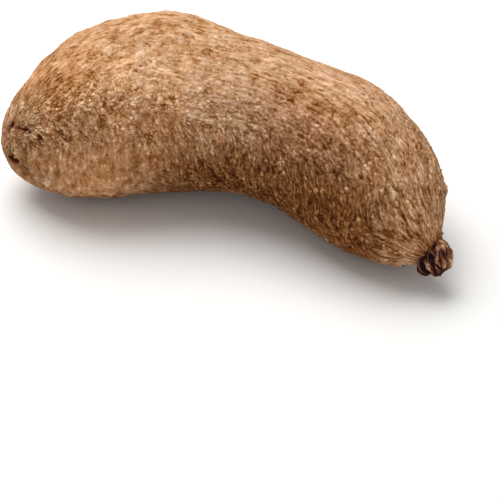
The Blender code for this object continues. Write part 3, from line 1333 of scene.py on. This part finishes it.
    def build(self, material: Material) -> None:
        """Makes the four lengths, from the tip to the crown. Their shared rings have the same places and
        normals.

        Args:
            material: the skin's material.
        """
        cuts = np.linspace(0, self.rings, len(Zone) + 1).astype(int)
        for zone, first, last in zip(Zone, cuts[:-1], cuts[1:]):
            tube = Tube(last - first + 1, self.meridians)
            rows = slice(first * self.meridians, (last + 1) * self.meridians)
            keep, faces, bake_map = tube.closed(zone is Zone.TIP, zone is Zone.CROWN)
            points, normals = (grid.reshape(-1, 3)[rows][keep] for grid in (self.points, self.normals))
            values = {key: numbers[rows][keep] for key, numbers in self.values.items()}
            plan = MeshPlan(points, faces, values, normals, bake_map)
            dress(plan.build(f"yam_skin_{zone.value}", material), replaces_tuber=True)


@dataclass(frozen=True)
class TipScar:
    """The callus in the dish at the tip: upright ridges between two lips, with a pit above and below."""

    form: TuberForm
    rings: int = 90
    meridians: int = 240
    radius: float = 0.0102
    stand: float = 0.0003  # how far it stands over the dish
    back: float = 0.0060  # how far behind the dish its hidden back comes to a point
    rim: Pair = (2.6, 0.10)  # how fast its outline wanders round it, and by what share
    bend: Pair = (0.004, 0.0013)  # how the ridges wander: over what length, and how far
    stray: Triple = (0.0050, 0.0034, 0.0024)  # over what length its marks do, how far sideways and up
    ridge: Pattern = Pattern(long=0.0046, wide=0.0015, high=0.00050)
    tear: Pattern = Pattern(long=0.0030, wide=0.0011, high=0.00012)
    lip: Triple = (0.89, 0.080, 0.00095)  # place and width in radii, and height
    lip_raggedness: float = 0.8
    dive: Pair = (0.955, 0.0024)  # from what share of the radius it turns down, and how far
    groove: Triple = (0.0056, 0.0009, 0.00085)  # place, width and depth
    groove_raggedness: float = 0.0006
    groove_fade: Pair = (0.0085, 0.0040)  # how far up and down it has faded out, and is still whole
    pits: tuple[tuple[float, float, float, float], ...] = (  # sideways, up, half width and half height
        (-0.0013, 0.0096, 0.0026, 0.0017),
        (0.0036, -0.0092, 0.0062, 0.0026),
    )
    pit_depth: float = 0.0022
    pit_stray: float = 0.3  # what share of the other marks' straying they do
    smear: tuple[float, float, float, float] = (0.0040, -0.0030, 0.0044, 0.0042)
    smear_raggedness: Pair = (0.0018, 0.0020)  # sideways and up

    @staticmethod
    def bell(side: Array, up: Array, spot: tuple[float, float, float, float]) -> Array:
        """A bell curve over the pad, round the spot's place and as wide and as high as it says."""
        place_side, place_up, half_wide, half_high = spot
        return np.exp(-(((side - place_side) / half_wide) ** 2) - ((up - place_up) / half_high) ** 2)

    def build(self, material: Material) -> None:
        """Makes the callus as rings round the dish's middle.

        A ring point stands on the dish's ball, raised by the ridges' noise and by a bell curve at the lip,
        and lowered by the groove and the pits. The last rings dive under the skin.

        Args:
            material: the callus.
        """
        share = np.linspace(0, 1, self.rings + 1)[1:, None]
        turn = turns(self.meridians)[None, :]
        circle = np.stack((np.cos(turn), np.sin(turn), np.zeros_like(turn)), axis=-1)
        pace, raggedness = self.rim
        out = self.radius * share * (1 + raggedness * Lattice(101).rough(circle[0] * pace, 4)[None, :])
        side, up = out * np.cos(turn), out * np.sin(turn)
        flat = np.stack((side, up, np.zeros_like(side)), axis=-1).reshape(-1, 3)
        bent = flat + self.bend[1] * Lattice(105).drift(flat / self.bend[0])
        ridge_cells = bent / (self.ridge.wide, self.ridge.long, 1.0)
        tear_cells = bent / (self.tear.wide, self.tear.long, self.tear.wide)
        ridges = Lattice(102).rough(ridge_cells, 3).reshape(out.shape)
        torn = Lattice(103).rough(tear_cells, 3).reshape(out.shape)
        sideways, upwards = (
            reach * Lattice(seed).rough(flat / self.stray[0], 2).reshape(out.shape)
            for seed, reach in zip((108, 109), self.stray[1:])
        )
        strayed = side + self.pit_stray * sideways, up + self.pit_stray * upwards
        hollow = np.max([self.bell(*strayed, pit) for pit in self.pits], axis=0)
        lip_place, lip_width, lip_height = self.lip
        lip = np.exp(-(((share - lip_place) / lip_width) ** 2)) * (1 - hollow)
        groove_place, groove_width, groove_depth = self.groove
        off_groove = side + sideways - groove_place + self.groove_raggedness * torn
        groove = np.exp(-((off_groove / groove_width) ** 2))
        groove *= ease(np.abs(up), *self.groove_fade) * ease(torn, -0.5, 0.1)
        height = self.stand + self.ridge.high * ridges + self.tear.high * torn
        height += lip_height * lip * (1 + self.lip_raggedness * torn)
        height -= self.pit_depth * hollow + groove_depth * groove
        height -= self.dive[1] * ease(share, self.dive[0], 1.0)
        ragged_side, ragged_up = self.smear_raggedness
        smeared = side + sideways + ragged_side * torn, up + upwards + ragged_up * ridges
        values = {
            # The groove is darker in tone too: a painted shadow in it.
            "ridge": 0.48 + 0.40 * ridges + 0.25 * torn + 0.30 * lip - 0.55 * groove,
            "green": 0.78 * self.bell(*smeared, self.smear),
            "lip": 0.55 * ease(side + 0.001 * torn, -0.0035, -0.0070) * (0.6 + 0.4 * ridges),
            "hollow": np.clip(1.5 * hollow, 0, 1),
        }
        for key, numbers in values.items():
            values[key] = np.concatenate((numbers[0, :1], numbers.ravel(), numbers[0, :1]))
        values["pad"] = np.concatenate((np.zeros((1, 3)), flat, np.zeros((1, 3))))

        middle, ball = self.form.dish_middle(), self.form.dish_radius
        away = unit(self.form.scar_direction)
        level = unit(np.cross((0.0, 0.0, 1.0), away))
        places = middle + side[..., None] * level + up[..., None] * np.cross(away, level)
        places = places - (np.sqrt(ball**2 - out**2) - height)[..., None] * away
        centre, back = (middle - (ball + depth) * away for depth in (-self.stand, self.back))
        points = np.concatenate((centre[None], places.reshape(-1, 3), back[None]))
        tube = Tube(self.rings, self.meridians)
        front = tube.quads()[:, ::-1] + 1, tube.fan(0, 1, opens_back=False)
        behind = tube.fan(len(points) - 1, len(points) - 1 - self.meridians, opens_back=True)
        corners = np.concatenate([block.ravel() for block in front])
        # The front is mapped as seen, inside a square 2.6 radii wide. The hidden back shares one corner.
        bake_map = values["pad"][corners, :2] / (2.6 * self.radius) + 0.5
        bake_map = np.concatenate((bake_map, np.full((behind.size, 2), 0.99)))
        dress(MeshPlan(points, (*front, behind), values, bake_map=bake_map).build("tip_scar", material))


@dataclass(frozen=True)
class CrownKnob:
    """The knob of woody lobes at the crown, and the strands that peel from it."""

    form: TuberForm
    heart_radius: float = 0.0080
    lobes: int = 14
    lobe_radius: float = 0.0042
    lobe_spread: float = 0.0064
    variation: float = 0.20
    wander: float = math.radians(16)
    rim_angle: float = math.radians(100)
    golden_angle: float = math.radians(137.508)
    seed: int = 3
    rings: int = 200
    meridians: int = 260
    fall: Triple = (0.50, -0.55, -0.67)  # which way its strands run
    skirt: float = 0.0094  # the strands fill the knob out to this radius at least
    comb_bend: Pair = (0.004, 0.0008)  # how the strands wander: over what length, and how far
    strand: Pattern = Pattern(long=0.0110, wide=0.0030, high=0.00125)
    strand_gap: float = 0.38
    strand_middle: float = 0.62  # a strand's height here is the solid's own surface
    fibre: Pattern = Pattern(long=0.0050, wide=0.0009, high=0.00030)
    painted_light_side: Triple = (0.52, 0.45, 0.62)  # painted light: the knob is paler towards this side and darker away from it
    peels: int = 24  # how many strands peel off
    peel_steps: int = 14
    peel_start: Pair = (62, 128)  # degrees from the end of the fall where they start
    peel_length: Pair = (22, 62)  # degrees
    peel_sway: Pair = (-14, 14)  # degrees
    peel_width: Pair = (0.00020, 0.00046)
    peel_lift: float = 0.0010
    peel_sunk: float = 0.0001
    peel_flatness: float = 0.7

    def reach(self, sphere: Array) -> Array:
        """The solid's own knob: each direction reaches to the heart's ball, or to the far side of the lobe
        that stands out most that way.

        Args:
            sphere: directions, dome on X.

        Returns:
            How far each one reaches.
        """
        draw = np.random.default_rng(self.seed)
        count = np.arange(self.lobes)
        wander = self.wander * draw.uniform(-1, 1, size=(2, self.lobes))
        off_axis = self.rim_angle * np.sqrt((count + 0.3) / self.lobes) + wander[0]
        around = self.golden_angle * count + wander[1]
        across = np.sin(off_axis)
        middles = np.stack((np.cos(off_axis), across * np.cos(around), across * np.sin(around)), axis=1)
        middles *= self.lobe_spread * (1 + self.variation * draw.uniform(-1, 1, size=(self.lobes, 1)))
        radii = self.lobe_radius * (1 + self.variation * draw.uniform(-1, 1, size=self.lobes))
        nearest = sphere @ middles.T
        half_chord = radii**2 - (middles**2).sum(axis=1) + nearest**2
        reach = np.where(half_chord > 0, nearest + np.sqrt(np.maximum(half_chord, 0)), 0)
        return np.maximum(self.heart_radius, reach.max(axis=1))

    def build(self, material: Material) -> None:
        """Makes the knob: the solid's reach, broken up by strands that run down it the way they fall, like
        meridians. Each strand is a dome along its whole length.

        Args:
            material: the wood.
        """
        tube = Tube(self.rings + 1, self.meridians)
        sphere = sphere_grid(np.linspace(0, math.pi, tube.rings), self.meridians)
        stand = turn_to(self.form.crown_axis)
        ways = sphere @ (turn_to(self.fall).T @ stand).T
        down = np.arccos(np.clip(ways[:, :1], -1, 1))
        ring = unit(ways[:, 1:]) * (0.5 + 0.5 * np.sin(down))
        comb = self.skirt * np.concatenate((down, ring), axis=1)
        comb = comb + self.comb_bend[1] * Lattice(113).drift(comb / self.comb_bend[0])
        strands, own = Lattice(112).domes(self.strand.cells(comb, Lie.ALONG), self.strand_gap)
        fibres = Lattice(111).rough(self.fibre.cells(comb, Lie.ALONG), 2)
        out = np.maximum(self.reach(sphere), self.skirt)
        out += self.strand.high * (strands - self.strand_middle) + self.fibre.high * fibres
        crest = 0.40 + 0.50 * (strands - 0.5) + 0.20 * fibres + 0.28 * (own - 0.5)
        crest += 0.26 * Lattice(117).swell(comb / 0.005)
        # Painted light and shade: paler on one side of the knob, darker on the other.
        crest += 0.30 * (sphere @ stand.T @ unit(self.painted_light_side))
        keep, faces, bake_map = tube.closed(start=True, end=True)
        points = (sphere * out[:, None]) @ stand.T + self.form.knob_middle()
        values = {"comb": comb[keep], "crest": crest[keep]}
        dress(MeshPlan(points[keep], faces, values, bake_map=bake_map).build("crown_knob", material))

    def build_strands(self, material: Material) -> None:
        """Makes the peeling strands: each is a flat tube that runs down the knob the way the wood falls, and
        thins to a lifted end.

        Args:
            material: the strands' material.
        """
        draw = np.random.default_rng(self.seed + 1)
        share = (np.arange(self.peels) + draw.uniform(-0.4, 0.4, self.peels)) / self.peels
        start = np.radians(draw.uniform(*self.peel_start, self.peels))[:, None]
        length = np.radians(draw.uniform(*self.peel_length, self.peels))[:, None]
        t = np.linspace(0, 1, self.peel_steps)
        sway = np.radians(draw.uniform(*self.peel_sway, self.peels))[:, None] * t**2
        ways = on_sphere(math.pi - start + length * t, 2 * math.pi * share[:, None] + sway)
        ways = ways @ turn_to(self.fall).T
        reach = self.reach((ways @ turn_to(self.form.crown_axis)).reshape(-1, 3)).reshape(ways.shape[:2])
        lift = self.peel_lift * draw.uniform(0, 1, self.peels)[:, None] ** 2 * t**3 - self.peel_sunk
        path = self.form.knob_middle() + ways * (np.maximum(reach, self.skirt) + lift)[..., None]
        width = draw.uniform(*self.peel_width, self.peels)[:, None] * np.sqrt(np.clip(1.02 - t**3, 0.03, 1))
        points, faces = bundle(path, width * np.sqrt(np.clip(4 * t + 0.2, 0, 1)), ways, self.peel_flatness)
        shade = np.repeat(draw.uniform(0.0, 1.0, self.peels), len(points) // self.peels)
        dress(MeshPlan(points, faces, {"shade": shade}).build("crown_strands", material))


@dataclass(frozen=True)
class Scales:
    """Small closed scales that stand on the skin, set along its grain."""

    name: str
    skin: YamSkin
    count: int
    length: Pair  # of the smallest and the largest
    width: Pair
    thickness: Pair
    seed: int
    lighter: Pair = (-0.08, 0.30)  # how much paler than the skin beneath: few are the palest
    sides: int = 6
    sunk: float = 0.00025
    shoulder: float = 0.72  # how wide and how high the upper ring is, as shares
    askew: float = 0.35  # how far they turn off the grain, in radians

    def build(self, material: Material) -> None:
        """Scatters the scales: each is a ring sunk in the skin, a smaller ring above it and a top point, set
        along the local grain, with every corner moved a little.

        Args:
            material: what the scales wear.
        """
        draw = np.random.default_rng(self.seed)
        chosen, place, normal = self.skin.choose(draw, self.count, self.skin.vigour**2)
        ahead = unit(np.gradient(self.skin.points, axis=0)).reshape(-1, 3)[chosen]
        ahead = unit(ahead - (ahead * normal).sum(axis=1, keepdims=True) * normal)
        across = np.cross(normal, ahead)
        beneath = {key: numbers[chosen] for key, numbers in self.skin.values.items()}
        goes_round = draw.uniform(size=self.count) < beneath["round_low"]
        twist = np.where(goes_round, math.pi / 2, 0) + draw.normal(0, self.askew, self.count)
        grain = np.cos(twist)[:, None] * ahead + np.sin(twist)[:, None] * across
        beside = np.cross(normal, grain)
        size = draw.uniform(0, 1, self.count)[:, None, None] ** 2
        half_long, half_wide = between(self.length, size) / 2, between(self.width, size) / 2
        tall = between(self.thickness, draw.uniform(size=self.count)[:, None, None])
        turn = turns(self.sides)
        offsets = []
        for reach, rise in ((1.0, -self.sunk), (self.shoulder, self.shoulder)):
            uneven = draw.uniform(0.75, 1.2, size=(self.count, self.sides, 1))
            level = rise
            if rise > 0:
                level = tall * rise * draw.uniform(0.7, 1.2, size=(self.count, self.sides, 1))
            long_way = half_long * reach * uneven * np.cos(turn)[:, None] * grain[:, None]
            wide_way = half_wide * reach * uneven * np.sin(turn)[:, None] * beside[:, None]
            offsets.append(long_way + wide_way + level * normal[:, None])
        points = place[:, None] + np.concatenate((*offsets, tall * normal[:, None]), axis=1)
        points[..., 2] = np.maximum(points[..., 2], 0.0)
        per_scale = points.shape[1]
        shift = np.arange(self.count)[:, None, None] * per_scale
        tube = Tube(2, self.sides)
        lid = tube.fan(2 * self.sides, self.sides, opens_back=False)
        blocks = tube.quads(), lid, np.arange(self.sides)[None, ::-1]
        faces = tuple((block + shift).reshape(-1, block.shape[1]) for block in blocks)
        values = {key: np.repeat(numbers, per_scale, axis=0) for key, numbers in beneath.items()}
        within = points - place[:, None]
        local = np.stack([(within * axis[:, None]).sum(axis=2) for axis in (ahead, across, normal)], axis=2)
        for lie in Lie:
            values[lie.value] = values[lie.value] + local.reshape(-1, 3)
        paler = between(self.lighter, draw.uniform(0, 1, self.count) ** 3)
        values["crest"] = values["crest"] + np.repeat(paler, per_scale)
        values["wound"] = values["wound"] * 0.0
        dress(MeshPlan(points.reshape(-1, 3), faces, values).build(self.name, material))


@dataclass(frozen=True)
class Rootlets:
    """What is left of the feeding roots: tubes that grow out of the skin, more of them towards the crown."""

    name: str
    skin: YamSkin
    count: int
    length: Pair  # the shortest and the longest
    width: Pair  # half the width of the thinnest and the thickest
    lying: float  # 0 for upright, 1 for flat on the skin
    seed: int = 17
    steps: int = 9
    sunk: float = 0.0005
    clearance: float = 0.006  # how high over the table the lowest grows
    at_tip: float = 0.12  # how likely they are at the tip, where the crown has 1 more
    off_ends: Pair = (0.13, 1.05)  # they grow between these likelihoods
    off_top: float = 0.55  # and where the skin faces up less than this
    curl: float = 0.6  # how far their ends turn aside, in radians

    def build(self, material: Material) -> None:
        """Grows the tubes: each starts under the skin, bends over by the lying share of a quarter turn and
        thins to its end.

        Args:
            material: what they wear.
        """
        draw = np.random.default_rng(self.seed + self.count)
        grid, normals = self.skin.points, self.skin.normals
        crownwards = np.linspace(0, 1, len(grid))[:, None] ** 2 + self.at_tip
        # They keep off both ends, the table and the top, which is rubbed bare.
        within = (crownwards > self.off_ends[0]) & (crownwards < self.off_ends[1])
        clear = (grid[..., 2] > self.clearance) & within & (normals[..., 2] < self.off_top)
        _, place, normal = self.skin.choose(draw, self.count, crownwards * clear)
        level = unit(np.cross(normal, draw.normal(size=(self.count, 3))))
        t = np.linspace(0, 1, self.steps)
        reach = draw.uniform(*self.length, self.count)[:, None]
        lean = (self.lying * draw.uniform(0.7, 1.05, self.count))[:, None] * math.pi / 2 * ease(t, -0.3, 0.5)
        curl = draw.normal(0, self.curl, self.count)[:, None] * t**2
        beside = np.cross(normal, level)
        ahead = np.cos(curl)[..., None] * level[:, None] + np.sin(curl)[..., None] * beside[:, None]
        ways = np.sin(lean)[..., None] * ahead + np.cos(lean)[..., None] * normal[:, None]
        grown = np.cumsum(ways * (reach / (self.steps - 1))[..., None], axis=1)
        path = place[:, None] - self.sunk * normal[:, None] + grown
        width = draw.uniform(*self.width, self.count)[:, None] * (1 - 0.75 * t**1.5)
        width = width * (1 + 0.15 * np.cos(9 * t + curl))
        points, faces = bundle(path, width, np.broadcast_to(beside[:, None], path.shape))
        points[:, 2] = np.maximum(points[:, 2], 0.0)
        shade = np.repeat(draw.uniform(0.0, 1.0, self.count), len(points) // self.count)
        dress(MeshPlan(points, faces, {"shade": shade}).build(self.name, material))


@dataclass(frozen=True)
class SoftBox:
    """A square soft light."""

    name: str
    place: Triple
    size: float
    power: float

    def hang(self, aim: Triple) -> None:
        """Hangs the light.

        Args:
            aim: the place that it faces.
        """
        lamp = bpy.data.lights.new(self.name, "AREA")
        lamp.size = self.size
        lamp.energy = self.power
        light = bpy.data.objects.new(self.name, lamp)
        light.location = self.place
        light.rotation_euler = (Vector(aim) - Vector(self.place)).to_track_quat("-Z", "Y").to_euler()
        bpy.context.scene.collection.objects.link(light)


@dataclass(frozen=True)
class Studio:
    """The pale floor, the soft lights and the camera at the photograph's angle."""

    floor_radius: float = 6.0
    floor_rings: int = 12
    floor_sides: int = 96
    air: str = "#FFFFFF"
    air_strength: float = 0.48
    aim: Triple = (0.0, 0.0, 0.045)
    lights: tuple[SoftBox, ...] = (
        SoftBox("key_softbox", (-0.45, 0.30, 1.30), size=1.3, power=22.0),
        SoftBox("front_fill", (0.9, -1.4, 0.9), size=1.0, power=1.0),
    )
    camera_place: Triple = (0.2206, -0.5914, 0.4837)
    camera_tilt: float = math.radians(50.466)
    camera_turn: float = math.radians(19.845)
    lens: float = 100.0
    sensor: float = 36.0

    def lay_floor(self, material: Material) -> None:
        """Lays a flat round floor: rings at squared steps from its middle.

        Args:
            material: what it is made of.
        """
        out = self.floor_radius * np.linspace(0, 1, self.floor_rings + 1)[1:, None] ** 2
        turn = turns(self.floor_sides)[None, :]
        rings = np.stack((out * np.cos(turn), out * np.sin(turn), np.zeros_like(out * turn)), axis=-1)
        points = np.concatenate((np.zeros((1, 3)), rings.reshape(-1, 3)))
        tube = Tube(self.floor_rings, self.floor_sides)
        faces = (tube.quads()[:, ::-1] + 1, tube.fan(0, 1, opens_back=False))
        MeshPlan(points, faces).build("studio_floor", material)

    def set_camera(self) -> None:
        """Stands the camera where the photograph's was."""
        camera = bpy.data.cameras.new("studio_camera")
        camera.lens = self.lens
        camera.sensor_width = self.sensor
        stand = bpy.data.objects.new("studio_camera", camera)
        stand.location = self.camera_place
        stand.rotation_euler = (self.camera_tilt, 0.0, self.camera_turn)
        bpy.context.scene.collection.objects.link(stand)
        bpy.context.scene.camera = stand

    def build(self) -> None:
        """Lays the floor, hangs the lights, fills the air with soft white and sets the camera."""
        self.lay_floor(MattPaper().build())
        for light in self.lights:
            light.hang(self.aim)
        world = bpy.data.worlds.new("studio_air")
        world.use_nodes = True
        air = world.node_tree.nodes["Background"]
        air.inputs["Color"].default_value = linear(self.air)
        air.inputs["Strength"].default_value = self.air_strength
        bpy.context.scene.world = world
        bpy.context.scene.view_settings.view_transform = "Standard"
        self.set_camera()


def main() -> None:
    """Builds the tuber's pieces in order, from the skin to its scales, then the studio."""
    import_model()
    form = TuberForm()
    skin = YamSkin(form, Bark())
    periderm = DryPeriderm().build()
    skin.build(periderm)
    TipScar(form).build(WoundCallus().build())
    knob = CrownKnob(form)
    knob.build(DeadWood().build())
    knob.build_strands(CorkScale("peeled_stem_strand", "#351A12", "#97704F").build())
    flakes = Scales("cork_flakes", skin, 4200, (0.0011, 0.0036), (0.0009, 0.0023), (0.00012, 0.00045), seed=7)
    flakes.build(periderm)
    root = CorkScale("dry_rootlet", "#3A2213", "#A67C55").build()
    Rootlets("root_stubs", skin, 60, (0.0009, 0.0019), (0.00035, 0.00065), lying=0.35).build(root)
    Rootlets("root_hairs", skin, 12, (0.0030, 0.0060), (0.00013, 0.00020), lying=0.96).build(root)
    Studio().build()


if __name__ == "__main__":
    logging.basicConfig(level=logging.INFO, format="%(name)s: %(message)s")
    main()
